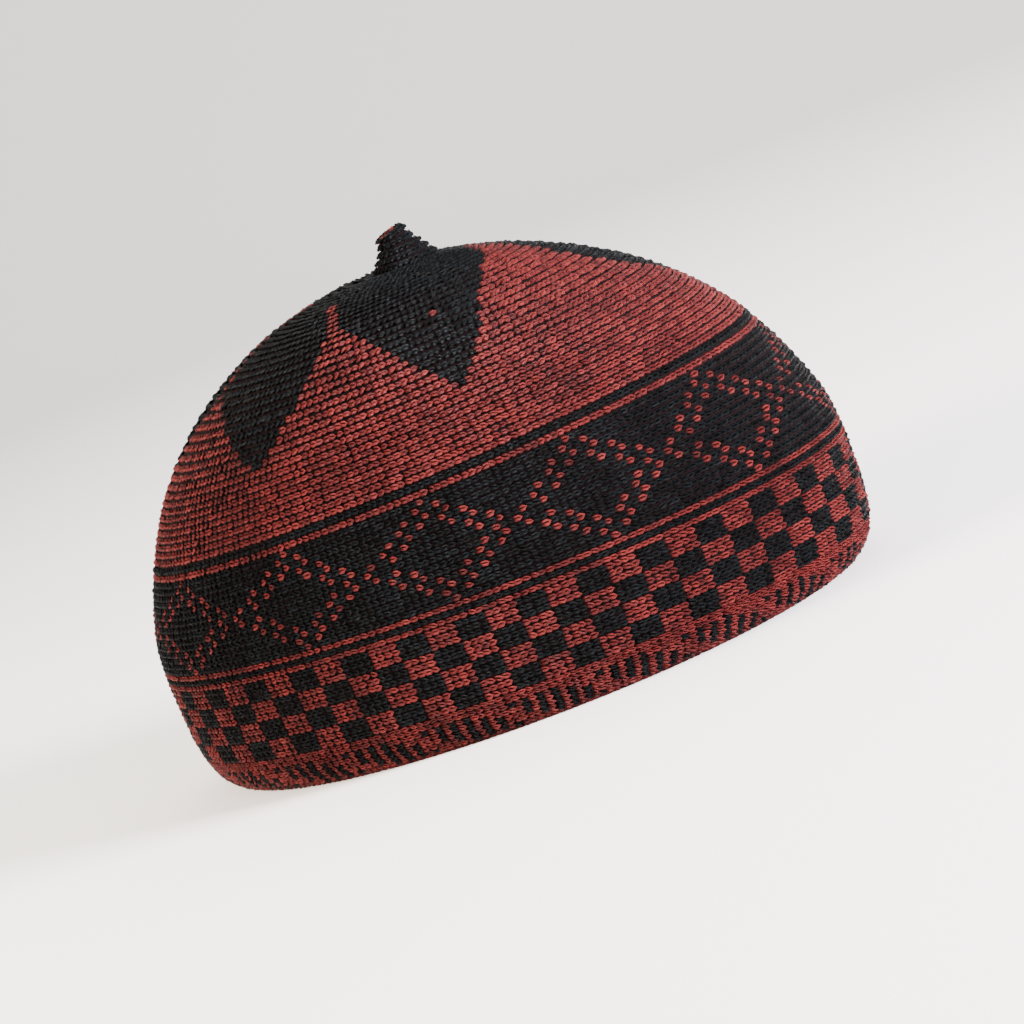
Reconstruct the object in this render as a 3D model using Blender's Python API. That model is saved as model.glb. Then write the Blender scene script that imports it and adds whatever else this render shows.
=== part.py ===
"""Knitted prayer cap: one hollow knitted shell with a turned-in rim and a drawn-up knob on top.

Metres, +Z up. The cap stands on the flat land of its rim, with its long axis along X.
"""
import math

import bmesh
import bpy

# Driving sizes (metres).
HALF_LENGTH = 0.1020        # middle to the outside, front to back, at the widest
HALF_WIDTH = 0.0655         # middle to the outside, side to side, at the widest
CROWN_HEIGHT = 0.1201       # rim's land to the base of the knob
WALL = 0.0024               # knitted wall, loops and backing together
HEM_WALL = 0.0034           # turned-in rim, a little thicker
KNOB_HEIGHT = 0.0102        # knob's base to the lip of its mouth
KNOB_RADIUS = 0.0091        # knob at its base
KNOB_FORWARD = 0.0061       # the knob stands this far towards +X
KNOB_LEAN = 0.0012          # the knob's mouth sits this far towards -Y
MOUTH_BACK = 0.0016         # and this far back towards -X
MOUTH_TILT_DEG = 9.0        # tilt of the mouth's rim, higher at +Y
MOUTH_SIDE_TILT_DEG = 18.0  # its tilt lengthwise, higher at +X
POINTS_ROUND = 72           # corners in every loop

# Outside of the cap from the rim's land up to the knob's base, as shares of
# CROWN_HEIGHT, HALF_LENGTH and HALF_WIDTH. The last column is the section's shift
# towards +X, as a share of HALF_LENGTH.
OUTER_SECTIONS = (
    # height_share, length_share, width_share, forward_share
    (0.0000, 0.8950, 0.9300, 0.000),
    (0.0100, 0.9260, 0.9520, 0.000),
    (0.0316, 0.9560, 0.9720, 0.000),
    (0.0708, 0.9800, 0.9870, 0.000),
    (0.1332, 0.9960, 0.9960, 0.000),
    (0.2165, 1.0000, 1.0000, 0.000),
    (0.2998, 1.0000, 1.0000, 0.000),
    (0.3830, 0.9880, 0.9980, 0.000),
    (0.4663, 0.9550, 0.9900, 0.000),
    (0.5495, 0.9120, 0.9740, 0.000),
    (0.6286, 0.8610, 0.9480, 0.000),
    (0.7036, 0.7960, 0.9100, -0.004),
    (0.7702, 0.7206, 0.8600, -0.007),
    (0.8285, 0.6400, 0.7970, -0.011),
    (0.8784, 0.5500, 0.7190, -0.015),
    (0.9201, 0.4580, 0.6270, -0.018),
    (0.9534, 0.3660, 0.5240, -0.020),
    (0.9759, 0.2800, 0.4200, -0.019),
    (0.9908, 0.2060, 0.3100, -0.012),
    (1.0000, 0.1420, 0.2160, 0.006),
)

# Round knob drawn up from the crown: its outside from the base to the lip, then down into its mouth.
# Shares of KNOB_HEIGHT above the crown, of KNOB_RADIUS and of the lean.
KNOB_SECTIONS = (
    # height_share, radius_share, lean_share
    (0.06, 1.000, 0.00),
    (0.18, 0.930, 0.05),
    (0.38, 0.760, 0.12),
    (0.62, 0.580, 0.22),
    (0.84, 0.490, 0.42),
    (0.96, 0.430, 0.72),
    (1.00, 0.345, 1.00),
    (0.94, 0.275, 1.00),
    (0.77, 0.235, 0.90),
    (0.59, 0.175, 0.80),
)
MOUTH_FLOOR_SHARE = 0.54    # bottom of the knob's mouth, as a share of KNOB_HEIGHT
INNER_TOP_ROWS = 4          # outer sections the inside leaves out below the knob


def ring(half_length, half_width, height, shift_x=0.0, shift_y=0.0, slope_x=0.0, slope_y=0.0):
    """Returns the corners of one loop, counter-clockwise seen from above."""
    corners = []
    for step in range(POINTS_ROUND):
        angle = 2.0 * math.pi * step / POINTS_ROUND
        x = half_length * math.cos(angle)
        y = half_width * math.sin(angle)
        corners.append((x + shift_x, y + shift_y, height + slope_x * x + slope_y * y))
    return corners


def outer_loops():
    """Returns the loops of the outside, from the rim's land to the floor of the knob's mouth."""
    loops = [ring(HALF_LENGTH * length, HALF_WIDTH * width, CROWN_HEIGHT * height, HALF_LENGTH * forward)
             for height, length, width, forward in OUTER_SECTIONS]
    tilt = math.tan(math.radians(MOUTH_TILT_DEG))
    side_tilt = math.tan(math.radians(MOUTH_SIDE_TILT_DEG))
    for height, radius, lean in KNOB_SECTIONS:
        loops.append(ring(KNOB_RADIUS * radius, KNOB_RADIUS * radius, CROWN_HEIGHT + KNOB_HEIGHT * height,
                          KNOB_FORWARD - MOUTH_BACK * lean, -KNOB_LEAN * lean, side_tilt * lean, tilt * lean))
    return loops


def inner_loops():
    """Returns the loops of the inside, from the rim's land up, one wall in from the outside."""
    rows = [(CROWN_HEIGHT * height, HALF_LENGTH * length, HALF_WIDTH * width, HALF_LENGTH * forward)
            for height, length, width, forward in OUTER_SECTIONS]
    land_height, land_length, land_width, land_forward = rows[0]
    loops = [ring(land_length - HEM_WALL, land_width - HEM_WALL, land_height, land_forward)]
    for index in range(2, len(rows) - INNER_TOP_ROWS):
        below, here, above = rows[index - 1], rows[index], rows[index + 1]
        rise = above[0] - below[0]
        along = below[1] - above[1]
        across = below[2] - above[2]
        wall = HEM_WALL if index < 3 else WALL
        drop = wall * 0.5 * (along + across) / math.hypot(rise, 0.5 * (along + across))
        loops.append(ring(here[1] - wall * rise / math.hypot(rise, along),
                          here[2] - wall * rise / math.hypot(rise, across),
                          here[0] - max(drop, 0.0), here[3]))
    return loops


def build_shell():
    """Builds the knitted shell as one closed body and returns its object."""
    mesh = bmesh.new()
    outer = [[mesh.verts.new(point) for point in loop] for loop in outer_loops()]
    inner = [[mesh.verts.new(point) for point in loop] for loop in inner_loops()]
    floor_lean = KNOB_SECTIONS[-1][2]
    mouth_floor = mesh.verts.new((KNOB_FORWARD - MOUTH_BACK * floor_lean, -KNOB_LEAN * floor_lean,
                                  CROWN_HEIGHT + KNOB_HEIGHT * MOUTH_FLOOR_SHARE))
    top_forward = OUTER_SECTIONS[len(OUTER_SECTIONS) - INNER_TOP_ROWS - 1][3]
    inner_top = mesh.verts.new((HALF_LENGTH * top_forward, 0.0, CROWN_HEIGHT - WALL))

    def skin(lower, upper):
        for step in range(POINTS_ROUND):
            after = (step + 1) % POINTS_ROUND
            mesh.faces.new((lower[step], lower[after], upper[after], upper[step]))

    for lower, upper in zip(outer, outer[1:]):
        skin(lower, upper)
    for lower, upper in zip(inner, inner[1:]):
        skin(upper, lower)
    skin(inner[0], outer[0])
    for step in range(POINTS_ROUND):
        after = (step + 1) % POINTS_ROUND
        mesh.faces.new((outer[-1][step], outer[-1][after], mouth_floor))
        mesh.faces.new((inner[-1][after], inner[-1][step], inner_top))
    bmesh.ops.recalc_face_normals(mesh, faces=mesh.faces)
    bmesh.ops.triangulate(mesh, faces=mesh.faces)
    data = bpy.data.meshes.new("knitted_shell")
    mesh.to_mesh(data)
    mesh.free()
    return bpy.data.objects.new("knitted_shell", data)


def yarn_material():
    """Returns the plain knitted-yarn material of the shell."""
    material = bpy.data.materials.new("knitted_yarn")
    material.use_nodes = True
    shader = material.node_tree.nodes["Principled BSDF"]
    shader.inputs["Base Color"].default_value = (0.17, 0.035, 0.036, 1.0)
    shader.inputs["Roughness"].default_value = 0.85
    return material


def main():
    """Builds the cap in a collection of its own."""
    for item in list(bpy.data.objects):
        bpy.data.objects.remove(item, do_unlink=True)
    group = bpy.data.collections.new("knitted_prayer_cap")
    bpy.context.scene.collection.children.link(group)
    shell = build_shell()
    shell.data.materials.append(yarn_material())
    group.objects.link(shell)


main()
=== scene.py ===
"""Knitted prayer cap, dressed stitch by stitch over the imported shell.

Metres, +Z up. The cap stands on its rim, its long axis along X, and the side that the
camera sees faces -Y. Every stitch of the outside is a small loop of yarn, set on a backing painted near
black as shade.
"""
from __future__ import annotations

import logging
import math
from collections.abc import Sequence
from dataclasses import dataclass, fields
from enum import IntEnum

import bpy
import numpy as np
from mathutils import Matrix, Vector

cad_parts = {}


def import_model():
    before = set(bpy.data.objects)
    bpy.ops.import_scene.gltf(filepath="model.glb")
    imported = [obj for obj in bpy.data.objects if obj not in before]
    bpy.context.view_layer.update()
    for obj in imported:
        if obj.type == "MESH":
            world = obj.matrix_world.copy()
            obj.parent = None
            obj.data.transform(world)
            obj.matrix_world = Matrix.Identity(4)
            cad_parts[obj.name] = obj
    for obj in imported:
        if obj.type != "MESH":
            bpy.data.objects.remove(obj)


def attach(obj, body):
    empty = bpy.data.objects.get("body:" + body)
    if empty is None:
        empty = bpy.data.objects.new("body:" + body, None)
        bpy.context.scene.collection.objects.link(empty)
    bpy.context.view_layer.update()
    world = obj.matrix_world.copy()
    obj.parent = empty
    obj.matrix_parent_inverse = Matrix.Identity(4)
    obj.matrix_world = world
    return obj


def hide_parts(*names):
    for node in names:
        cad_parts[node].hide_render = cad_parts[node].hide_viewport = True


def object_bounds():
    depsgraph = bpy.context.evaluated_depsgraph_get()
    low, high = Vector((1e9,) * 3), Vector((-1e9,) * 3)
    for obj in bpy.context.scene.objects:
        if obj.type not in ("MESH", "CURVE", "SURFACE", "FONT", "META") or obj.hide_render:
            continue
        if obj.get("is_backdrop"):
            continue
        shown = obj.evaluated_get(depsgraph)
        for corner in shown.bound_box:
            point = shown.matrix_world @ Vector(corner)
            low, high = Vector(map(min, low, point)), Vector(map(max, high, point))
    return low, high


LOG = logging.getLogger("knitted_prayer_cap")
# Steps round an oval when the way round it is measured
OVAL_STEPS = 1440


class Yarn(IntEnum):
    """The two yarns that the cap is knitted from."""

    RED = 0
    BLACK = 1


# A table of three columns
Triples = tuple[tuple[float, float, float], ...]


# Small helpers

def linear(colour: str) -> tuple[float, float, float, float]:
    """Turns an sRGB hex colour into a linear one.

    Args:
        colour: six hex digits with a leading #.

    Returns:
        Red, green, blue and alpha for a shader socket.
    """
    parts = [int(colour[start:start + 2], 16) / 255.0 for start in (1, 3, 5)]
    values = [part / 12.92 if part <= 0.04045 else ((part + 0.055) / 1.055) ** 2.4 for part in parts]
    return (values[0], values[1], values[2], 1.0)


def add_node(tree: bpy.types.NodeTree, kind: str, settings: dict | None = None,
             links: dict | None = None) -> bpy.types.Node:
    """Adds one node with its settings, its values and its links.

    Args:
        tree: the tree that gets the node.
        kind: the node's type name.
        settings: properties of the node by name.
        links: input sockets by name or number, each a value or another node's output socket.

    Returns:
        The new node.
    """
    node = tree.nodes.new(kind)
    for name, value in (settings or {}).items():
        setattr(node, name, value)
    for key, value in (links or {}).items():
        socket = node.inputs[key]
        if isinstance(value, bpy.types.NodeSocket):
            tree.links.new(value, socket)
        else:
            socket.default_value = value
    return node


def calculate(tree: bpy.types.NodeTree, operation: str, *values: object) -> bpy.types.NodeSocket:
    """Adds a math node for these values and returns its output."""
    inputs = dict(enumerate(values))
    return add_node(tree, "ShaderNodeMath", {"operation": operation}, inputs).outputs[0]


def show(name: str, data: bpy.types.ID) -> bpy.types.Object:
    """Returns a new object with this data, linked to the scene at the origin."""
    piece = bpy.data.objects.new(name, data)
    bpy.context.scene.collection.objects.link(piece)
    return piece


# The cap's form

@dataclass(frozen=True)
class CapForm:
    """Outside of the cap, with the same sizes as the solid that it stands for."""

    half_length: float = 0.1020
    half_width: float = 0.0655
    crown_height: float = 0.1201
    knob_height: float = 0.0102
    knob_radius: float = 0.0091
    knob_forward: float = 0.0061
    knob_lean: float = 0.0012
    mouth_back: float = 0.0016
    mouth_tilt_deg: float = 9.0
    mouth_side_tilt_deg: float = 18.0
    crown_sections: tuple[tuple[float, float, float, float], ...] = (
        (0.0, 0.895, 0.93, 0.0), (0.01, 0.926, 0.952, 0.0), (0.0316, 0.956, 0.972, 0.0),
        (0.0708, 0.98, 0.987, 0.0), (0.1332, 0.996, 0.996, 0.0), (0.2165, 1.0, 1.0, 0.0),
        (0.2998, 1.0, 1.0, 0.0), (0.383, 0.988, 0.998, 0.0), (0.4663, 0.955, 0.99, 0.0),
        (0.5495, 0.912, 0.974, 0.0), (0.6286, 0.861, 0.948, 0.0), (0.7036, 0.796, 0.91, -0.004),
        (0.7702, 0.7206, 0.86, -0.007), (0.8285, 0.64, 0.797, -0.011), (0.8784, 0.55, 0.719, -0.015),
        (0.9201, 0.458, 0.627, -0.018), (0.9534, 0.366, 0.524, -0.02), (0.9759, 0.28, 0.42, -0.019),
        (0.9908, 0.206, 0.31, -0.012), (1.0, 0.142, 0.216, 0.006),
    )
    knob_sections: Triples = (
        (0.06, 1.0, 0.0), (0.18, 0.93, 0.05), (0.38, 0.76, 0.12), (0.62, 0.58, 0.22),
        (0.84, 0.49, 0.42), (0.96, 0.43, 0.72), (1.0, 0.345, 1.0), (0.94, 0.275, 1.0),
        (0.77, 0.235, 0.9), (0.59, 0.175, 0.8),
    )
    # Counted back from the last section: the knob's lip, and where the stitches end in its mouth
    lip_section: int = -4
    mouth_section: int = -2

    def table(self) -> np.ndarray:
        """Lists every section from the rim to the floor of the knob's mouth.

        Returns:
            One line a section: way along the near side, height, half length, half width, both
            shifts and both slopes.
        """
        tilt = math.tan(math.radians(self.mouth_tilt_deg))
        side_tilt = math.tan(math.radians(self.mouth_side_tilt_deg))
        rows = [(self.crown_height * height, self.half_length * length, self.half_width * width,
                 self.half_length * forward, 0.0, 0.0, 0.0)
                for height, length, width, forward in self.crown_sections]
        rows += [(self.crown_height + self.knob_height * height, self.knob_radius * radius,
                  self.knob_radius * radius, self.knob_forward - self.mouth_back * lean,
                  -self.knob_lean * lean, side_tilt * lean, tilt * lean)
                 for height, radius, lean in self.knob_sections]
        sections = np.array(rows)
        steps = np.hypot(np.diff(sections[:, 0]), np.diff(sections[:, 2]))
        way = np.concatenate(([0.0], np.cumsum(steps)))
        return np.column_stack((way, sections))


def smooth_line(knots: np.ndarray, values: np.ndarray, at: np.ndarray) -> tuple[np.ndarray, np.ndarray]:
    """Reads a smooth curve through given points.

    Args:
        knots: rising places of the points.
        values: the points' values.
        at: places to read.

    Returns:
        The values there, and how fast they change.
    """
    slopes = np.gradient(values, knots)
    index = np.clip(np.searchsorted(knots, at, side="right") - 1, 0, len(knots) - 2)
    step = knots[index + 1] - knots[index]
    t = (at - knots[index]) / step
    low, high = values[index], values[index + 1]
    low_slope, high_slope = slopes[index] * step, slopes[index + 1] * step
    height = ((2 * t**3 - 3 * t**2 + 1) * low + (t**3 - 2 * t**2 + t) * low_slope
              + (3 * t**2 - 2 * t**3) * high + (t**3 - t**2) * high_slope)
    change = ((6 * t**2 - 6 * t) * low + (3 * t**2 - 4 * t + 1) * low_slope
              + (6 * t - 6 * t**2) * high + (3 * t**2 - 2 * t) * high_slope) / step
    return height, change


class CapSurface:
    """The cap's outside as a surface: a way up from the rim, and a share of the way round."""

    def __init__(self, form: CapForm) -> None:
        """Keeps the section table of a form."""
        self.sections = form.table()
        self.crown = self.sections[:len(form.crown_sections)]
        self.crown_way = float(self.crown[-1, 0])
        self.lip_way = float(self.sections[form.lip_section, 0])
        self.mouth_way = float(self.sections[form.mouth_section, 0])
        self.full_way = float(self.sections[-1, 0])

    def way_at_height(self, height: float) -> float:
        """Returns the way up the near side at which the crown reaches a height."""
        return float(np.interp(height, self.crown[:, 1], self.crown[:, 0]))

    def oval(self, way: float) -> tuple[float, float]:
        """Returns half the length and half the width of the ring at a way up."""
        return (float(np.interp(way, self.sections[:, 0], self.sections[:, 2])),
                float(np.interp(way, self.sections[:, 0], self.sections[:, 3])))

    def girth(self, way: float) -> float:
        """Returns the length once round at a way up."""
        length, width = self.oval(way)
        root = math.sqrt((3 * length + width) * (length + 3 * width))
        return math.pi * (3 * (length + width) - root)

    def turn(self, way: float, shares: np.ndarray) -> np.ndarray:
        """Turns shares of the way round into angles on the ring's ellipse.

        Args:
            way: way up the near side.
            shares: shares of the girth, 0 at -Y and growing towards +X.

        Returns:
            Angles in radians.
        """
        length, width = self.oval(way)
        angles = np.linspace(0.0, 2.0 * math.pi, OVAL_STEPS + 1)
        speed = np.hypot(length * np.cos(angles), width * np.sin(angles))
        travelled = np.concatenate(([0.0], np.cumsum(0.5 * (speed[1:] + speed[:-1]))))
        travelled /= travelled[-1]
        return np.interp(np.mod(shares, 1.0), travelled, angles)

    def read(self, ways: np.ndarray,
             angles: np.ndarray) -> tuple[np.ndarray, np.ndarray, np.ndarray, np.ndarray]:
        """Reads points of the surface.

        Args:
            ways: ways up the near side.
            angles: angles on the rings.

        Returns:
            The points, the outward directions, and the steps along a row and up the surface.
        """
        knots = self.sections[:, 0]
        lines = [smooth_line(knots, self.sections[:, column], np.clip(ways, 0.0, self.full_way))
                 for column in range(1, 8)]
        height, length, width, shift_x, shift_y, slope_x, slope_y = (line[0] for line in lines)
        rise, wider, deeper, moved_x, moved_y, sloped_x, sloped_y = (line[1] for line in lines)
        cosine, sine = np.cos(angles), np.sin(angles)
        front, side = length * sine, -width * cosine
        points = np.column_stack((front + shift_x, side + shift_y,
                                  height + slope_x * front + slope_y * side))
        round_step = np.column_stack((length * cosine, width * sine,
                                      slope_x * length * cosine + slope_y * width * sine))
        up_step = np.column_stack((wider * sine + moved_x, moved_y - deeper * cosine,
                                   rise + sloped_x * front + slope_x * wider * sine
                                   + sloped_y * side - slope_y * deeper * cosine))
        outward = np.cross(round_step, up_step)
        outward /= np.linalg.norm(outward, axis=1)[:, None]
        return points, outward, round_step, up_step


# The knitter's plan

@dataclass(frozen=True)
class RowPlan:
    """One row round the cap: its number, its way up the near side, its pitch and its stitches."""

    number: int
    way: float
    pitch: float
    count: int


@dataclass(frozen=True)
class KnitPlan:
    """Where the rows run and how many stitches each has."""

    stitches: int = 252
    gores: int = 6
    # First row of each stretch and the height, in metres, of that row's lower edge on the near side
    anchors: tuple[tuple[float, float], ...] = (
        (0, 0.0), (1, 0.0002), (2, 0.0010), (7, 0.0080), (9, 0.0106), (21, 0.0336),
        (24, 0.0385), (39, 0.0670), (41, 0.0711), (51.5, 0.0897), (66, 0.1139), (77, 0.1201),
    )
    first_row: int = 1
    crown_row: int = 41
    top_row: int = 77
    tip_row: float = 50.5
    corner_row: float = 66.0
    knob_rows: int = 7
    mouth_rows: int = 1
    first_column: float = 1.2
    tilt: float = 0.038
    twist: float = 0.008
    # Row, and the share of the slope towards the front that it has
    leans: tuple[tuple[float, float], ...] = (
        (0, 0.0), (9, -0.28), (21, -0.08), (24, 0.0), (40, 1.0), (50.5, 1.0), (77, 0.0),
    )
    # Widths of a stitch at the crown's first row, the petals' tips, their corners and the top
    crown_pitches: tuple[float, float, float, float] = (0.00202, 0.00196, 0.00174, 0.00165)
    knob_pitch: float = 0.0016
    fewest_stitches: int = 12
    # Greatest height of a loop, and how unevenly the loops lie: size, place along the row and lean
    loop_depth: float = 0.0017
    uneven: tuple[float, float, float] = (0.05, 0.06, 0.14)
    wander: float = 0.08
    lean_spread: float = 0.12

    def rows(self, surface: CapSurface) -> list[RowPlan]:
        """Lays the rows up the cap.

        Args:
            surface: the cap's outside.

        Returns:
            Every row from the hem to the one inside the knob's mouth.
        """
        numbers = np.array([number for number, _ in self.anchors], float)
        ways = np.array([surface.way_at_height(height) for _, height in self.anchors])
        crown_edges = smooth_line(numbers, ways, np.arange(self.top_row + 1, dtype=float))[0]
        knob_edges = np.linspace(surface.crown_way, surface.lip_way, self.knob_rows + 1)[1:]
        mouth_edges = np.linspace(surface.lip_way, surface.mouth_way, self.mouth_rows + 1)[1:]
        edges = np.concatenate((np.interp(np.arange(self.crown_row), numbers, ways),
                                crown_edges[self.crown_row:], knob_edges, mouth_edges))
        plan = []
        for number, (low, high) in list(enumerate(zip(edges, edges[1:])))[self.first_row:]:
            middle = 0.5 * float(low + high)
            count = self.count_at(number, surface.girth(middle))
            plan.append(RowPlan(number, middle, float(high - low), count))
        return plan

    def count_at(self, number: int, girth: float) -> int:
        """Returns how many stitches a row has, so that they keep their width as the crown narrows."""
        if number < self.crown_row:
            return self.stitches
        if number >= self.top_row:
            return max(self.fewest_stitches, int(round(girth / self.knob_pitch)))
        pitch = float(np.interp(number, (self.crown_row, self.tip_row, self.corner_row, self.top_row),
                                self.crown_pitches))
        return min(self.stitches, self.gores * int(round(girth / pitch / self.gores)))

    def lean(self, number: int) -> float:
        """Returns a row's share of the slope towards the front. Below 0 it slopes the other way."""
        rows, shares = zip(*self.leans)
        return float(np.interp(number, rows, shares))

    def turned(self, number: int) -> float:
        """Returns the share of the girth that a row of the crown is turned by."""
        return -self.twist * float(np.interp(number, (self.crown_row, self.corner_row), (0.0, 1.0)))


# The charted pattern

# Red columns of the diamonds, row by row from the top one, counted from the diamond's point
DIAMOND_ROWS: tuple[tuple[int, ...], ...] = (
    (0,), (-1, 2), (-3, 0, 3), (-4, -1, 2, 5), (-6, -3, 3, 6), (-7, -4, 5, 8), (-9, -6, 6, 9),
    (-10, 8),
    (-9, -6, 6, 9), (-7, -4, 5, 8), (-6, -3, 3, 6), (-4, -1, 2, 5), (-3, 0, 3), (-1, 2), (0,),
)
# Black rows of the comb in the hem, for every second column of a fan
COMB_BARS: dict[int, tuple[int, ...]] = {
    0: (2, 6), 2: (4, 5, 6), 4: (3, 4, 5, 6), 6: (2, 3, 4, 5, 6), 8: (2, 3, 4, 5), 10: (2, 3, 4),
}
# Red wedges between the petals: row, then the wedge's first and last column. Once a wedge has
# closed it goes on as a thin line, up to its last row.
WEDGE_NEAR: Triples = (
    (50.5, -22.4, 12.8), (51.5, -21.6, 12.3), (53.8, -19.1, 11.0), (56.9, -15.5, 7.6), (60.4, -12.2, 2.9),
    (64.4, -9.6, -4.7), (65.4, -8.6, -6.6), (68.0, -9.6, -9.6), (70.0, -12.0, -12.0), (71.6, -15.0, -15.0),
)
WEDGE_FRONT: Triples = (
    (50.5, 12.8, 69.0), (51.4, 13.6, 67.5), (54.1, 18.3, 62.0), (56.2, 21.2, 59.2), (57.6, 23.2, 58.4),
    (61.2, 28.8, 58.9), (65.4, 39.4, 63.0), (68.0, 52.0, 69.0), (70.0, 61.0, 72.0), (72.0, 70.0, 72.0),
)
WEDGE_FRONT_FAR: Triples = (
    (50.5, 69.0, 114.2), (51.4, 71.0, 113.6), (54.1, 75.0, 108.9), (56.2, 78.0, 106.1), (57.6, 80.0, 104.3),
    (61.2, 83.0, 98.5), (65.4, 84.0, 87.0), (70.0, 80.0, 80.0), (72.0, 78.0, 78.0),
)
WEDGE_REAR: Triples = (
    (50.5, -61.0, -22.4), (51.5, -59.0, -24.9), (52.3, -56.0, -26.2), (54.9, -51.5, -30.1),
    (57.9, -48.0, -35.1), (60.2, -45.0, -41.2), (61.0, -44.3, -43.5), (64.0, -48.0, -48.0),
    (67.0, -53.0, -53.0), (70.0, -57.0, -57.0), (73.5, -61.0, -61.0),
)


@dataclass(frozen=True)
class Chart:
    """The colour of every stitch."""

    plan: KnitPlan
    diamond_period: int = 21
    comb_period: int = 12
    check_pair: int = 8
    wide_pair: int = 10
    pairs_right: int = 14
    # The first column of a fan of the comb, and of the squares, against the diamond's point
    comb_start: int = 1
    check_start: int = -1
    # Rows of one colour, the last rows of comb, squares and diamonds, and the height of a square
    red_rows: tuple[int, ...] = (0, 1, 7, 8, 21, 23, 39)
    black_rows: tuple[int, ...] = (22, 40)
    comb_top: int = 6
    check_top: int = 20
    diamond_top: int = 38
    check_rows: int = 3
    # Least width of the line that a closed wedge goes on as, in stitches
    thin_line: float = 1.8
    # Sum of the columns of two places that face each other across the cap's long axis
    facing: float = 128.4
    # One stray red stitch in the near petal: its row and column
    stray: tuple[int, float] = (61, 17.6)

    def wedges(self) -> list[Triples]:
        """Returns the six red wedges, the far ones facing the near ones."""
        far = [tuple((row, self.facing - last, self.facing - first) for row, first, last in wedge)
               for wedge in (WEDGE_NEAR, WEDGE_REAR)]
        return [WEDGE_NEAR, WEDGE_FRONT, WEDGE_FRONT_FAR, WEDGE_REAR, *far]

    def band(self, row: int, column: int) -> Yarn:
        """Reads the chart of the hem and the band.

        Args:
            row: row number from the rim.
            column: column from the near diamond's point.

        Returns:
            The stitch's yarn.
        """
        if row in self.red_rows:
            return Yarn.RED
        if row in self.black_rows:
            return Yarn.BLACK
        if row <= self.comb_top:
            bar = (column - self.comb_start) % self.comb_period
            return Yarn.BLACK if row in COMB_BARS.get(bar, ()) else Yarn.RED
        if row <= self.check_top:
            return self.check(row, column)
        half = self.diamond_period // 2
        centred = (column + half) % self.diamond_period - half
        return Yarn.RED if centred in DIAMOND_ROWS[self.diamond_top - row] else Yarn.BLACK

    def check(self, row: int, column: int) -> Yarn:
        """Returns the yarn of a stitch in the four rows of squares."""
        offset = (column - self.check_start) % self.plan.stitches
        regular = self.check_pair * self.pairs_right
        wide = 2 * self.wide_pair
        start, pair = 0, self.check_pair
        if offset >= regular + wide:
            start = regular + wide
        elif offset >= regular:
            start, pair = regular, self.wide_pair
        first = (offset - start) % pair < pair // 2
        band = (self.check_top - row) // self.check_rows
        return Yarn.BLACK if first == (band % 2 == 0) else Yarn.RED

    def crown(self, row: int, column: float, width: float) -> Yarn:
        """Reads the crown: petals that widen upwards until only a thin red line is left between them.

        Args:
            row: row number.
            column: place of the stitch, counted in columns of the band.
            width: how many columns of the band the stitch is wide.

        Returns:
            The stitch's yarn.
        """
        if row >= self.plan.top_row:
            return Yarn.RED if row >= self.plan.top_row + self.plan.knob_rows else Yarn.BLACK
        if row == self.stray[0] and abs(column - self.stray[1]) < 0.5 * width:
            return Yarn.RED
        place = row + 0.5
        if place < self.plan.tip_row:
            return Yarn.RED
        half_round = 0.5 * self.plan.stitches
        for wedge in self.wedges():
            rows = [line[0] for line in wedge]
            if place > rows[-1]:
                continue
            first = float(np.interp(place, rows, [line[1] for line in wedge]))
            last = float(np.interp(place, rows, [line[2] for line in wedge]))
            middle = 0.5 * (first + last)
            half = max(0.5 * (last - first), 0.5 * self.thin_line * width)
            away = (column - middle + half_round) % self.plan.stitches - half_round
            if abs(away) < half:
                return Yarn.RED
        return Yarn.BLACK


@dataclass
class Stitches:
    """The places and looks of many stitches, ready to be laid."""

    points: np.ndarray
    outward: np.ndarray
    along: np.ndarray
    cell: np.ndarray
    yarn: np.ndarray
    tint: np.ndarray
    rows: np.ndarray

    def part(self, chosen: np.ndarray) -> Stitches:
        """Returns only the chosen stitches."""
        return Stitches(*(getattr(self, field.name)[chosen] for field in fields(self)))


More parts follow.
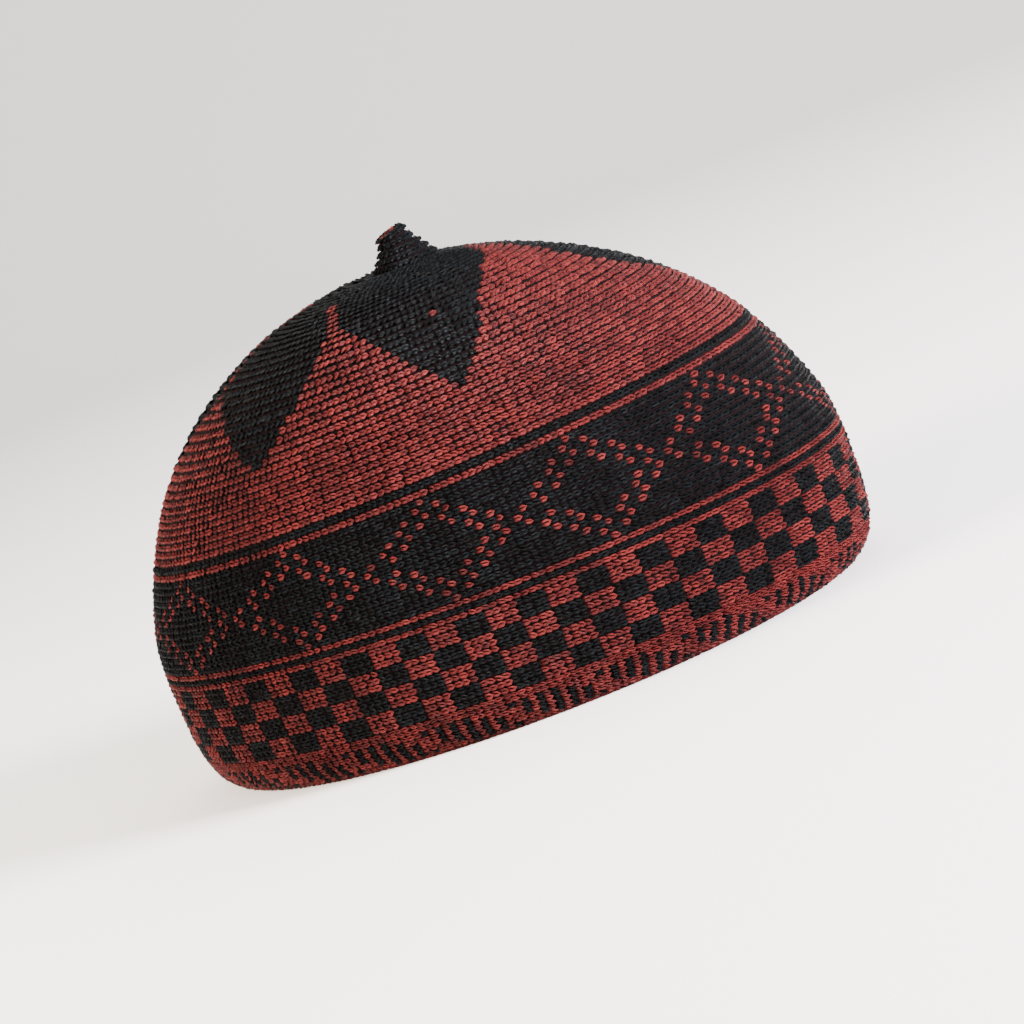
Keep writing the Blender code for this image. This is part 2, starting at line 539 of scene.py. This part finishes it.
@dataclass(frozen=True)
class Knitter:
    """Works out where every stitch of the cap lies."""

    surface: CapSurface
    plan: KnitPlan
    chart: Chart
    seed: int = 11

    def knit(self) -> Stitches:
        """Lays every row.

        Returns:
            All stitches of the cap.
        """
        chance = np.random.default_rng(self.seed)
        rows = [self.row(item, chance) for item in self.plan.rows(self.surface)]
        return Stitches(*(np.concatenate([getattr(row, field.name) for row in rows])
                          for field in fields(Stitches)))

    def row(self, item: RowPlan, chance: np.random.Generator) -> Stitches:
        """Lays one row.

        Args:
            item: the row's plan.
            chance: seeded random numbers for the small differences between stitches.

        Returns:
            The row's stitches.
        """
        plan = self.plan
        columns = np.arange(item.count)
        if item.number < plan.crown_row:
            signed = (columns + plan.stitches // 2) % plan.stitches - plan.stitches // 2
            shares = (signed - plan.first_column) / plan.stitches
            yarn = np.array([int(self.chart.band(item.number, int(column))) for column in signed])
        else:
            shares = (columns + 0.5) / item.count
            columns_wide = plan.stitches / item.count
            places = shares * plan.stitches + plan.first_column
            yarn = np.array([int(self.chart.crown(item.number, float(place), columns_wide))
                             for place in places])
            shares = shares + plan.turned(item.number)
        angles = self.surface.turn(item.way, shares)
        ways = np.full(item.count, item.way)
        level, _, _, _ = self.surface.read(ways, angles)
        ways = ways + plan.tilt * plan.lean(item.number) * level[:, 0]
        points, outward, round_step, up_step = self.surface.read(ways, angles)
        along = round_step / np.linalg.norm(round_step, axis=1)[:, None]
        width = self.surface.girth(item.way) / item.count
        height = np.linalg.norm(up_step, axis=1) * item.pitch
        depth = np.minimum(0.5 * (width + height), plan.loop_depth)
        cell = np.column_stack((np.full(item.count, width), height, depth))
        cell *= 1.0 + chance.normal(0.0, 1.0, cell.shape) * plan.uneven
        points += along * (chance.normal(0.0, plan.wander, item.count) * width)[:, None]
        outward = outward + along * chance.normal(0.0, plan.lean_spread, item.count)[:, None]
        outward = outward + up_step * (chance.normal(0.0, plan.lean_spread, item.count)
                                       / np.linalg.norm(up_step, axis=1))[:, None]
        tint = chance.normal(0.0, 1.0, item.count)
        return Stitches(points, outward, along, cell, yarn, tint, np.full(item.count, item.number))


# Yarn finishes

@dataclass(frozen=True)
class YarnFinish:
    """Dyed acrylic yarn, two plies twisted, machine knitted: a dull fuzzy sheen on rounded loops.

    The eye gets a deep matt colour flecked with paler and darker tufts of fibre, small shade
    differences from loop to loop, and fine slanting plies up close.
    """

    name: str
    body: str
    crest: str
    deep: str
    roughness: float
    gloss: float
    sheen: float
    sheen_tint: str
    ply_bump: float
    # Patches of slightly different dye depth, 1/70 m or about 14 mm across
    dye_scale: float = 70.0
    # Tufts of fibre, 1/3200 m or about 0.3 mm across, with finer ones in them
    fibre_scale: float = 3200.0
    # How far patches, single loops and tufts move the shade, round its base
    shade_base: float = 0.39
    dye_share: float = 0.22
    loop_share: float = 0.05
    fibre_share: float = 0.8
    # Shades at which the deep, the body and the crest colour stand
    shades: tuple[float, float, float] = (0.60, 0.86, 0.995)
    # Slanting plies, about 0.16 mm apart along the yarn
    ply_scale: float = 3.4
    fibre_relief: float = 1.6
    relief_depth: float = 0.00022

    def material(self) -> bpy.types.Material:
        """Builds the yarn's material.

        Returns:
            A node material that reads the stitch's own map and tint.
        """
        made = bpy.data.materials.new(self.name)
        made.use_nodes = True
        tree = made.node_tree
        shader = tree.nodes["Principled BSDF"]
        tint = add_node(tree, "ShaderNodeAttribute", {"attribute_name": "tint"})
        map_node = add_node(tree, "ShaderNodeUVMap", {"uv_map": "yarn"})
        place = add_node(tree, "ShaderNodeTexCoord")
        dye = add_node(tree, "ShaderNodeTexNoise", {}, {
            "Vector": place.outputs["Object"], "Scale": self.dye_scale, "Detail": 1.0,
            "Roughness": 0.3})
        fibre = add_node(tree, "ShaderNodeTexNoise", {}, {
            "Vector": place.outputs["Object"], "Scale": self.fibre_scale, "Detail": 3.0,
            "Roughness": 0.7})
        soft = calculate(tree, "MULTIPLY_ADD", dye.outputs["Fac"], self.dye_share, self.shade_base)
        patch = calculate(tree, "MULTIPLY_ADD", tint.outputs["Fac"], self.loop_share, soft)
        shade = calculate(tree, "MULTIPLY_ADD", fibre.outputs["Fac"], self.fibre_share, patch)
        colour = add_node(tree, "ShaderNodeValToRGB", {}, {0: shade})
        deep, body, crest = self.shades
        colour.color_ramp.elements[0].position = deep
        colour.color_ramp.elements[0].color = linear(self.deep)
        colour.color_ramp.elements[1].position = crest
        colour.color_ramp.elements[1].color = linear(self.crest)
        middle = colour.color_ramp.elements.new(body)
        middle.color = linear(self.body)
        ply = add_node(tree, "ShaderNodeTexWave", {"wave_type": "BANDS", "bands_direction": "DIAGONAL"}, {
            "Vector": map_node.outputs["UV"], "Scale": self.ply_scale, "Distortion": 0.6,
            "Detail": 1.0, "Detail Scale": 3.0})
        relief = calculate(tree, "MULTIPLY_ADD", fibre.outputs["Fac"], self.fibre_relief,
                           ply.outputs["Fac"])
        bump = add_node(tree, "ShaderNodeBump", {}, {
            "Strength": self.ply_bump, "Distance": self.relief_depth, "Height": relief})
        tree.links.new(colour.outputs["Color"], shader.inputs["Base Color"])
        tree.links.new(bump.outputs["Normal"], shader.inputs["Normal"])
        constants = {"Roughness": self.roughness, "IOR": 1.48, "Specular IOR Level": self.gloss,
                     "Sheen Weight": self.sheen, "Sheen Roughness": 0.45,
                     "Sheen Tint": linear(self.sheen_tint)}
        for socket, value in constants.items():
            shader.inputs[socket].default_value = value
        return made


@dataclass(frozen=True)
class BackingFinish:
    """The knit behind the loops: floats of both yarns lying flat, with near black painted shade in the gaps
    of the outside.

    The eye gets painted shade, near black, between the stitches and in the knob's mouth, and on the inside
    dark red purl ridges, 1.9 mm apart, broken into short flecks, with the same painted shade between them.
    """

    name: str = "acrylic_knit_backing"
    gap: str = "#0A0304"
    # Painted shade: near black in the gaps between the stitches, in the knob's mouth and between the
    # inside's ridges
    ridge: str = "#5E2022"
    roughness: float = 0.92
    # One ridge a row: 2 pi over the wave texture's own factor of 20
    ridge_scale: float = 0.3142
    ridge_depth: float = 0.0006

    def material(self) -> bpy.types.Material:
        """Builds the backing's material.

        Returns:
            A node material with purl ridges that follow the rows, and painted shade around them and on the
            outside.
        """
        made = bpy.data.materials.new(self.name)
        made.use_nodes = True
        tree = made.node_tree
        shader = tree.nodes["Principled BSDF"]
        rows = add_node(tree, "ShaderNodeUVMap", {"uv_map": "rows"})
        side = add_node(tree, "ShaderNodeAttribute", {"attribute_name": "inside"})
        # The map counts rows up and stitches round
        ridges = add_node(tree, "ShaderNodeTexWave", {"wave_type": "BANDS", "bands_direction": "Y"}, {
            "Vector": rows.outputs["UV"], "Scale": self.ridge_scale, "Distortion": 1.2,
            "Detail": 1.0, "Detail Scale": 2.0})
        flecks = add_node(tree, "ShaderNodeTexVoronoi", {}, {"Vector": rows.outputs["UV"], "Scale": 1.0})
        pattern = calculate(tree, "MULTIPLY", ridges.outputs["Fac"], flecks.outputs["Color"])
        shown = calculate(tree, "MULTIPLY", pattern, side.outputs["Fac"])
        # Painted shade wherever no ridge shows: the whole outside, and between the inside's ridges
        colour = add_node(tree, "ShaderNodeMix", {"data_type": "RGBA"}, {
            0: shown, 6: linear(self.gap), 7: linear(self.ridge)})
        bump = add_node(tree, "ShaderNodeBump", {}, {
            "Strength": 0.8, "Distance": self.ridge_depth, "Height": pattern})
        tree.links.new(colour.outputs[2], shader.inputs["Base Color"])
        tree.links.new(bump.outputs["Normal"], shader.inputs["Normal"])
        shader.inputs["Roughness"].default_value = self.roughness
        shader.inputs["Specular IOR Level"].default_value = 0.08
        return made


RED_YARN = YarnFinish(
    name="twisted_acrylic_yarn_red", body="#4A0F11", crest="#752625", deep="#280406", roughness=0.50,
    gloss=0.15, sheen=0.02, sheen_tint="#E8A090", ply_bump=0.9)
BLACK_YARN = YarnFinish(
    name="twisted_acrylic_yarn_black", body="#040607", crest="#101619", deep="#010202", roughness=0.42,
    gloss=0.08, sheen=0.0, sheen_tint="#9DB0B4", ply_bump=0.9)


# Loops and the tree that lays them

@dataclass(frozen=True)
class YarnLoop:
    """One knitted loop on a cell of one by one: two legs that meet in a tip at the right."""

    # Along the row, up the cap and outwards, from the lower leg's start to the upper leg's
    path: Triples = (
        (-0.72, -0.08, -0.30), (-0.32, -0.21, 0.05), (0.08, -0.24, 0.19), (0.46, -0.01, 0.05),
        (0.12, 0.22, 0.02), (-0.32, 0.24, -0.10), (-0.70, 0.14, -0.34),
    )
    thickness: tuple[float, ...] = (0.15, 0.205, 0.22, 0.18, 0.165, 0.165, 0.14)
    # Depth of the yarn's underside, as a share of its top's
    under_share: float = 0.7

    def build(self) -> bpy.types.Object:
        """Builds the loop as a closed four-sided tube with a map along and round it.

        Returns:
            The loop's object, not linked to the scene.
        """
        points = [Vector(point) for point in self.path]
        corners: list[Vector] = []
        for index, point in enumerate(points):
            ahead = points[min(index + 1, len(points) - 1)] - points[max(index - 1, 0)]
            flat = Vector((ahead.x, ahead.y, 0.0)).normalized()
            side = Vector((-flat.y, flat.x, 0.0))
            size = self.thickness[index]
            up = Vector((0.0, 0.0, 1.0))
            corners += [point + up * size, point + side * size,
                        point - up * size * self.under_share, point - side * size]
        faces: list[tuple[int, ...]] = []
        marks: list[tuple[tuple[float, float], ...]] = []
        last = len(points) - 1
        for index in range(last):
            for edge in range(4):
                after = (edge + 1) % 4
                faces.append((4 * index + edge, 4 * index + after,
                              4 * index + 4 + after, 4 * index + 4 + edge))
                low, high = edge / 4.0, (edge + 1) / 4.0
                marks.append(((index, low), (index, high), (index + 1, high), (index + 1, low)))
        faces += [(3, 2, 1, 0), (4 * last, 4 * last + 1, 4 * last + 2, 4 * last + 3)]
        marks += [((0.0, 0.0),) * 4, ((float(last), 0.0),) * 4]
        mesh = bpy.data.meshes.new("yarn_loop")
        mesh.from_pydata([tuple(corner) for corner in corners], [], faces)
        layer = mesh.uv_layers.new(name="yarn")
        for place, mark in zip(layer.data, (mark for face in marks for mark in face)):
            place.uv = mark
        mesh.polygons.foreach_set("use_smooth", [True] * len(mesh.polygons))
        mesh.update()
        return bpy.data.objects.new("yarn_loop", mesh)


class StitchTree:
    """Geometry Nodes tree that lays one loop on every point of a row plan."""

    def __init__(self) -> None:
        """Builds the tree with named inputs."""
        tree = bpy.data.node_groups.new("lay_stitches", "GeometryNodeTree")
        sockets = (
            ("Geometry", "NodeSocketGeometry", None), ("Loop", "NodeSocketObject", None),
            ("Red Yarn", "NodeSocketMaterial", None), ("Black Yarn", "NodeSocketMaterial", None),
            ("Turn Spread", "NodeSocketFloat", 0.20), ("Size Spread", "NodeSocketFloat", 0.05),
            ("Seed", "NodeSocketInt", 5),
        )
        self.inputs: dict[str, str] = {}
        for name, kind, value in sockets:
            socket = tree.interface.new_socket(name, in_out="INPUT", socket_type=kind)
            if value is not None:
                socket.default_value = value
            self.inputs[name] = socket.identifier
        tree.interface.new_socket("Geometry", in_out="OUTPUT", socket_type="NodeSocketGeometry")
        self.tree = tree
        self.build()

    def named(self, name: str, kind: str) -> bpy.types.NodeSocket:
        """Returns the output of a named attribute of the points."""
        node = add_node(self.tree, "GeometryNodeInputNamedAttribute", {"data_type": kind}, {"Name": name})
        return node.outputs["Attribute"]

    def build(self) -> None:
        """Wires the tree: turn, size, instance, realize, and set both yarns."""
        tree = self.tree
        given = add_node(tree, "NodeGroupInput")
        loop = add_node(tree, "GeometryNodeObjectInfo", {}, {"Object": given.outputs["Loop"]})
        lie = add_node(tree, "FunctionNodeAxesToRotation", {"primary_axis": "Z", "secondary_axis": "X"}, {
            0: self.named("outward", "FLOAT_VECTOR"), 1: self.named("along", "FLOAT_VECTOR")})
        less = calculate(tree, "MULTIPLY", given.outputs["Turn Spread"], -1.0)
        turn = add_node(tree, "FunctionNodeRandomValue", {"data_type": "FLOAT"}, {
            2: less, 3: given.outputs["Turn Spread"], "Seed": given.outputs["Seed"]})
        spin = add_node(tree, "ShaderNodeCombineXYZ", {}, {2: turn.outputs[1]})
        euler = add_node(tree, "FunctionNodeEulerToRotation", {}, {0: spin.outputs[0]})
        turned = add_node(tree, "FunctionNodeRotateRotation", {"rotation_space": "LOCAL"}, {
            0: lie.outputs[0], 1: euler.outputs[0]})
        small = calculate(tree, "SUBTRACT", 1.0, given.outputs["Size Spread"])
        large = calculate(tree, "ADD", 1.0, given.outputs["Size Spread"])
        size = add_node(tree, "FunctionNodeRandomValue", {"data_type": "FLOAT"}, {
            2: small, 3: large, "Seed": given.outputs["Seed"]})
        scale = add_node(tree, "ShaderNodeVectorMath", {"operation": "SCALE"}, {
            0: self.named("cell", "FLOAT_VECTOR"), "Scale": size.outputs[1]})
        laid = add_node(tree, "GeometryNodeInstanceOnPoints", {}, {
            "Points": given.outputs["Geometry"], "Instance": loop.outputs["Geometry"],
            "Rotation": turned.outputs[0], "Scale": scale.outputs[0]})
        whole = add_node(tree, "GeometryNodeRealizeInstances", {}, {0: laid.outputs[0]})
        black = add_node(tree, "FunctionNodeCompare", {"data_type": "FLOAT", "operation": "GREATER_THAN"}, {
            0: self.named("dye", "FLOAT"), 1: 0.5})
        red_set = add_node(tree, "GeometryNodeSetMaterial", {}, {
            "Geometry": whole.outputs[0], "Material": given.outputs["Red Yarn"]})
        black_set = add_node(tree, "GeometryNodeSetMaterial", {}, {
            "Geometry": red_set.outputs[0], "Selection": black.outputs[0],
            "Material": given.outputs["Black Yarn"]})
        add_node(tree, "NodeGroupOutput", {}, {0: black_set.outputs[0]})

    def lay(self, name: str, stitches: Stitches, settings: dict[str, object]) -> bpy.types.Object:
        """Lays stitches and returns them as one plain mesh.

        Args:
            name: name of the piece.
            stitches: the stitches to lay.
            settings: values for the tree's named inputs.

        Returns:
            The piece, linked at the origin.
        """
        seeds = bpy.data.meshes.new(name + "_points")
        seeds.from_pydata([tuple(point) for point in stitches.points], [], [])
        vectors = (("outward", stitches.outward), ("along", stitches.along), ("cell", stitches.cell))
        for label, values in vectors:
            layer = seeds.attributes.new(label, "FLOAT_VECTOR", "POINT")
            layer.data.foreach_set("vector", values.astype(np.float32).ravel())
        for label, values in (("dye", stitches.yarn), ("tint", stitches.tint)):
            layer = seeds.attributes.new(label, "FLOAT", "POINT")
            layer.data.foreach_set("value", values.astype(np.float32))
        carrier = show(name + "_points", seeds)
        modifier = carrier.modifiers.new("lay_stitches", "NODES")
        modifier.node_group = self.tree
        for label, value in settings.items():
            modifier[self.inputs[label]] = value
        graph = bpy.context.evaluated_depsgraph_get()
        mesh = bpy.data.meshes.new_from_object(carrier.evaluated_get(graph), preserve_all_data_layers=True,
                                               depsgraph=graph)
        bpy.data.objects.remove(carrier)
        mesh.name = name
        for label in ("outward", "along", "cell", "dye"):
            if label in mesh.attributes:
                mesh.attributes.remove(mesh.attributes[label])
        if mesh.materials[0] is None:
            mesh.materials.pop(index=0)
        return show(name, mesh)


# Sub-assemblies

@dataclass(frozen=True)
class Backing:
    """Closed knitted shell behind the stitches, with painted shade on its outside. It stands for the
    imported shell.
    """

    surface: CapSurface
    form: CapForm
    wall: float = 0.0024
    hem_wall: float = 0.0034
    inset: float = 0.0005
    round_points: int = 144
    rows_up: int = 72
    # Height at which the inside starts, and the way over which the hem's wall thins out
    inside_start: float = 0.0022
    hem_reach: float = 0.006
    # The section at which the inside ends, counted from the rim
    top_section: int = 16
    # The rim's half length, as a share of the cap's
    rim_share: float = 0.9
    # One unit of the map is this high, and one of this many round
    row_height: float = 0.0019
    stitches_round: float = 252.0

    def build(self, finish: BackingFinish) -> bpy.types.Object:
        """Builds the backing.

        Args:
            finish: its finish.

        Returns:
            The backing's object.
        """
        outer_ways = np.linspace(0.0, self.surface.full_way, self.rows_up)
        top = float(self.surface.sections[self.top_section, 0])
        start = self.surface.way_at_height(self.inside_start)
        inner_ways = np.linspace(start, top, self.rows_up)
        walls = np.interp(inner_ways, (start, start + self.hem_reach), (self.hem_wall, self.wall))
        rim = self.ring(0.0, self.inset)
        rim[:, 2] = 0.0
        land = rim * (1.0 - (self.hem_wall - self.inset) / self.form.half_length / self.rim_share)
        rings = [(self.ring(way, wall), way, 1.0) for way, wall in zip(inner_ways[::-1], walls[::-1])]
        rings += [(land, 0.0, 1.0), (rim, 0.0, 0.0)]
        rings += [(self.ring(way, self.inset), way, 0.0) for way in outer_ways[1:]]
        return self.skin(rings, finish)

    def ring(self, way: float, depth: float) -> np.ndarray:
        """Returns the points of one ring, this deep under the outside."""
        angles = np.linspace(0.0, 2.0 * math.pi, self.round_points, endpoint=False)
        points, outward, _, _ = self.surface.read(np.full(self.round_points, way), angles)
        return points - outward * depth

    def skin(self, rings: Sequence[tuple[np.ndarray, float, float]],
             finish: BackingFinish) -> bpy.types.Object:
        """Skins the rings into one closed shell, with a map that counts rows and stitches.

        Args:
            rings: points, way up and side (1 inside) of each ring, from the inside's top to the mouth.
            finish: the backing's finish.

        Returns:
            The shell's object.
        """
        count = self.round_points
        corners = [tuple(point) for points, _, _ in rings for point in points]
        sides = [side for _, _, side in rings for _ in range(count)]
        first, last = rings[0][0].mean(axis=0), rings[-1][0].mean(axis=0)
        corners += [tuple(first), tuple(last)]
        sides += [1.0, 0.0]
        faces: list[tuple[int, ...]] = []
        marks: list[tuple[float, float]] = []
        for index in range(len(rings) - 1):
            here = index * count
            low, high = rings[index][1] / self.row_height, rings[index + 1][1] / self.row_height
            for step in range(count):
                after = (step + 1) % count
                faces.append((here + step, here + after, here + count + after, here + count + step))
                left = self.stitches_round * step / count
                right = self.stitches_round * (step + 1) / count
                marks += [(left, low), (right, low), (right, high), (left, high)]
        top, floor = len(corners) - 2, len(corners) - 1
        offset = (len(rings) - 1) * count
        for step in range(count):
            after = (step + 1) % count
            faces.append((top, after, step))
            faces.append((floor, offset + step, offset + after))
            marks += [(0.0, 0.0)] * 6
        mesh = bpy.data.meshes.new("knitted_backing")
        mesh.from_pydata(corners, [], faces)
        layer = mesh.uv_layers.new(name="rows")
        for place, mark in zip(layer.data, marks):
            place.uv = mark
        # Outside (0), the mouth's floor too, the finish shows its painted shade; inside (1) its ridges
        inside = mesh.attributes.new("inside", "FLOAT", "POINT")
        inside.data.foreach_set("value", np.array(sides, np.float32))
        mesh.polygons.foreach_set("use_smooth", [True] * len(mesh.polygons))
        mesh.materials.append(finish.material())
        mesh.update()
        return show("knitted_backing", mesh)


@dataclass(frozen=True)
class StitchedRegion:
    """One region of the cap's face whose stitches make a piece."""

    name: str
    rows: tuple[int, int]
    yarns: tuple[Yarn, ...] = (Yarn.RED, Yarn.BLACK)
    seed: int = 1

    def build(self, stitches: Stitches, tree: StitchTree, loop: bpy.types.Object,
              red: bpy.types.Material, black: bpy.types.Material) -> bpy.types.Object:
        """Lays the region's stitches.

        Args:
            stitches: all stitches of the cap.
            tree: the tree that lays them.
            loop: one loop of yarn.
            red: the red yarn's material.
            black: the black yarn's material.

        Returns:
            The region's piece.
        """
        first, last = self.rows
        chosen = (stitches.rows >= first) & (stitches.rows <= last)
        chosen &= np.isin(stitches.yarn, [int(yarn) for yarn in self.yarns])
        return tree.lay(self.name, stitches.part(chosen), {
            "Loop": loop, "Red Yarn": red, "Black Yarn": black, "Seed": self.seed})


REGIONS: tuple[StitchedRegion, ...] = (
    StitchedRegion("hem_and_comb_stitches", (1, 8), seed=1),
    StitchedRegion("check_stitches", (9, 20), seed=2),
    StitchedRegion("band_black_stitches", (21, 40), (Yarn.BLACK,), seed=3),
    StitchedRegion("band_red_stitches", (21, 40), (Yarn.RED,), seed=4),
    StitchedRegion("crown_side_stitches", (41, 52), seed=5),
    StitchedRegion("crown_red_stitches", (53, 76), (Yarn.RED,), seed=6),
    StitchedRegion("petal_black_stitches", (53, 76), (Yarn.BLACK,), seed=7),
    StitchedRegion("knob_stitches", (77, 90), seed=8),
)


# Light, floor and camera

@dataclass(frozen=True)
class Studio:
    """A pale floor, lamps at the right, at the left and above, and the camera at the photo's angle."""

    swing: float = 0.189
    rise: float = 0.147
    roll: float = -0.029
    picture_turn_deg: float = 20.5
    distance: float = 0.816
    target_height: float = 0.0561
    aim_right: float = 0.0077
    aim_down: float = 0.0114
    lens: float = 102.2
    # The floor: half its width, where its sweep starts, the sweep's radius and the wall's height
    floor_side: float = 5.0
    floor_bend: float = 1.6
    floor_sweep: float = 1.5
    floor_top: float = 4.0
    sky_strength: float = 0.95
    lamp_aim: float = 0.05
    # Name, place, width of the face, watts and colour of each lamp
    lamps: tuple[tuple[str, tuple[float, float, float], float, float, str], ...] = (
        ("key", (1.15, -0.42, 0.45), 0.45, 116.0, "#FFF4F9"),
        ("fill", (-1.0, -0.50, 0.45), 0.6, 60.0, "#FFEAD6"),
        ("overhead", (0.2, 0.6, 1.7), 1.4, 20.0, "#FFFFFF"),
    )

    def axes(self) -> tuple[Vector, Vector, Vector]:
        """Returns the level right, up and back directions of the view."""
        back = Vector((math.sin(self.swing) * math.cos(self.rise),
                       -math.cos(self.swing) * math.cos(self.rise), math.sin(self.rise)))
        right = Vector((math.cos(self.swing), math.sin(self.swing), 0.0))
        up = back.cross(right)
        level_right = right * math.cos(self.roll) + up * math.sin(self.roll)
        level_up = up * math.cos(self.roll) - right * math.sin(self.roll)
        return level_right, level_up, back

    def camera(self) -> None:
        """Sets up the camera."""
        right, up, back = self.axes()
        target = Vector((0.0, 0.0, self.target_height))
        place = target + back * self.distance
        aim = target + right * self.aim_right - up * self.aim_down
        turn = math.radians(self.picture_turn_deg)
        towards = (place - aim).normalized()
        picture_up = right * math.sin(turn) + up * math.cos(turn)
        picture_right = picture_up.cross(towards).normalized()
        picture_up = towards.cross(picture_right)
        data = bpy.data.cameras.new("camera")
        data.lens = self.lens
        data.sensor_width = 36.0
        data.clip_start, data.clip_end = 0.01, 50.0
        seer = show("camera", data)
        matrix = Matrix((picture_right, picture_up, towards)).transposed().to_4x4()
        matrix.translation = place
        seer.matrix_world = matrix
        bpy.context.scene.camera = seer

    def lamp(self, name: str, place: Sequence[float], size: float, power: float, colour: str) -> None:
        """Adds one soft lamp that faces the cap.

        Args:
            name: the lamp's name.
            place: where it stands.
            size: width of its face in metres.
            power: watts.
            colour: sRGB hex colour.
        """
        data = bpy.data.lights.new(name, "AREA")
        data.size = size
        data.energy = power
        data.color = linear(colour)[:3]
        lamp = show(name, data)
        lamp.location = place
        aim = Vector((0.0, 0.0, self.lamp_aim)) - Vector(place)
        lamp.rotation_mode = "QUATERNION"
        lamp.rotation_quaternion = aim.to_track_quat("-Z", "Y")

    def floor(self) -> None:
        """Lays a pale matt floor that sweeps up at +Y, so that the photo's view shows no horizon."""
        side, bend, sweep = self.floor_side, self.floor_bend, self.floor_sweep
        profile = [(-side, 0.0)]
        for angle in range(0, 91, 5):
            step = math.radians(angle)
            profile.append((bend + sweep * math.sin(step), sweep * (1.0 - math.cos(step))))
        profile.append((bend + sweep, self.floor_top))
        points = [(x, y, z) for y, z in profile for x in (-side, side)]
        faces = [(2 * index, 2 * index + 1, 2 * index + 3, 2 * index + 2)
                 for index in range(len(profile) - 1)]
        mesh = bpy.data.meshes.new("floor")
        mesh.from_pydata(points, [], faces)
        mesh.polygons.foreach_set("use_smooth", [True] * len(faces))
        paint = bpy.data.materials.new("matt_white_floor_paint")
        paint.use_nodes = True
        shader = paint.node_tree.nodes["Principled BSDF"]
        shader.inputs["Base Color"].default_value = linear("#F8F8F7")
        shader.inputs["Roughness"].default_value = 0.9
        mesh.materials.append(paint)
        show("floor", mesh)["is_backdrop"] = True

    def build(self) -> None:
        """Sets up floor, light and camera."""
        self.floor()
        world = bpy.data.worlds.new("studio")
        world.use_nodes = True
        sky = world.node_tree.nodes["Background"]
        sky.inputs["Color"].default_value = linear("#FFFFFF")
        sky.inputs["Strength"].default_value = self.sky_strength
        bpy.context.scene.world = world
        for lamp in self.lamps:
            self.lamp(*lamp)
        self.camera()


def corners(bounds: Sequence[Vector]) -> list[list[float]]:
    """Returns a box as plain lists of numbers."""
    return [[float(value) for value in corner] for corner in bounds]


def main(cad_box: list[list[float]]) -> None:
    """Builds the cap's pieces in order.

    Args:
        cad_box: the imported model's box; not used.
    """
    logging.basicConfig(level=logging.INFO, format="%(name)s: %(message)s")
    form = CapForm()
    surface = CapSurface(form)
    plan = KnitPlan()
    stitches = Knitter(surface, plan, Chart(plan)).knit()
    LOG.info("%d stitches in %d rows", len(stitches.rows), len(np.unique(stitches.rows)))
    Studio().build()
    backing = Backing(surface, form).build(BackingFinish())
    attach(backing, "root")
    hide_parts("knitted_shell")
    tree = StitchTree()
    loop = YarnLoop().build()
    red, black = RED_YARN.material(), BLACK_YARN.material()
    for region in REGIONS:
        piece = region.build(stitches, tree, loop, red, black)
        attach(piece, "root")
        triangles = sum(len(face.vertices) - 2 for face in piece.data.polygons)
        LOG.info("%s: %d triangles", piece.name, triangles)


if __name__ == "__main__":
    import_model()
    main(corners(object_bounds()))
